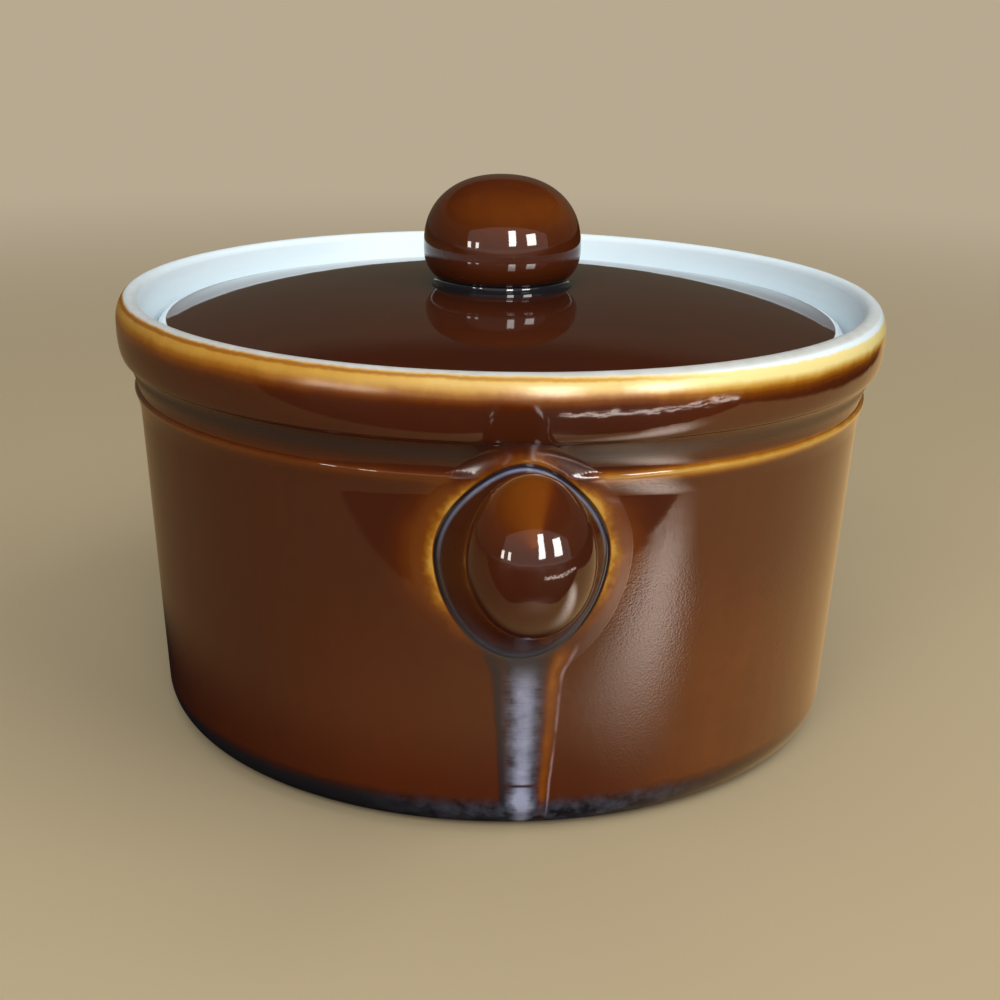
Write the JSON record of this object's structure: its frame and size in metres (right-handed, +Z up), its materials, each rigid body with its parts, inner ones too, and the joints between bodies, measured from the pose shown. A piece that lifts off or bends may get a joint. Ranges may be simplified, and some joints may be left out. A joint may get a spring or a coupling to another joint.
{
  "type": "casserole dish",
  "caption": "Round straight-sided glazed dish with a stick handle, white inside, and a loose domed lid with a ball knob that drops onto a ledge inside the rim.",
  "frame": {"origin": "centre of the ring that the dish stands on, level with the table", "axes": "+Z up along the axis of the dish and lid, -Y out along the handle, +X to the right of a viewer who faces the handle"},
  "size_m": [0.18, 0.2233, 0.1273],
  "materials": {
    "brown_glaze": "gloss",
    "lid_brown_glaze": "gloss",
    "white_glaze": "gloss"
  },
  "bodies": {
    "dish": {"vessel": "brown_glaze", "white_lining": "white_glaze", "handle": "brown_glaze"},
    "lid": {"lid_plate": "lid_brown_glaze", "lid_white_glaze": "white_glaze", "lid_knob": "lid_brown_glaze"}
  },
  "joints": [
    {"name": "lid_lift", "type": "slide", "parent": "dish", "child": "lid", "axis": [0, 0, 1], "range_m": [0, 0.12]}
  ]
}
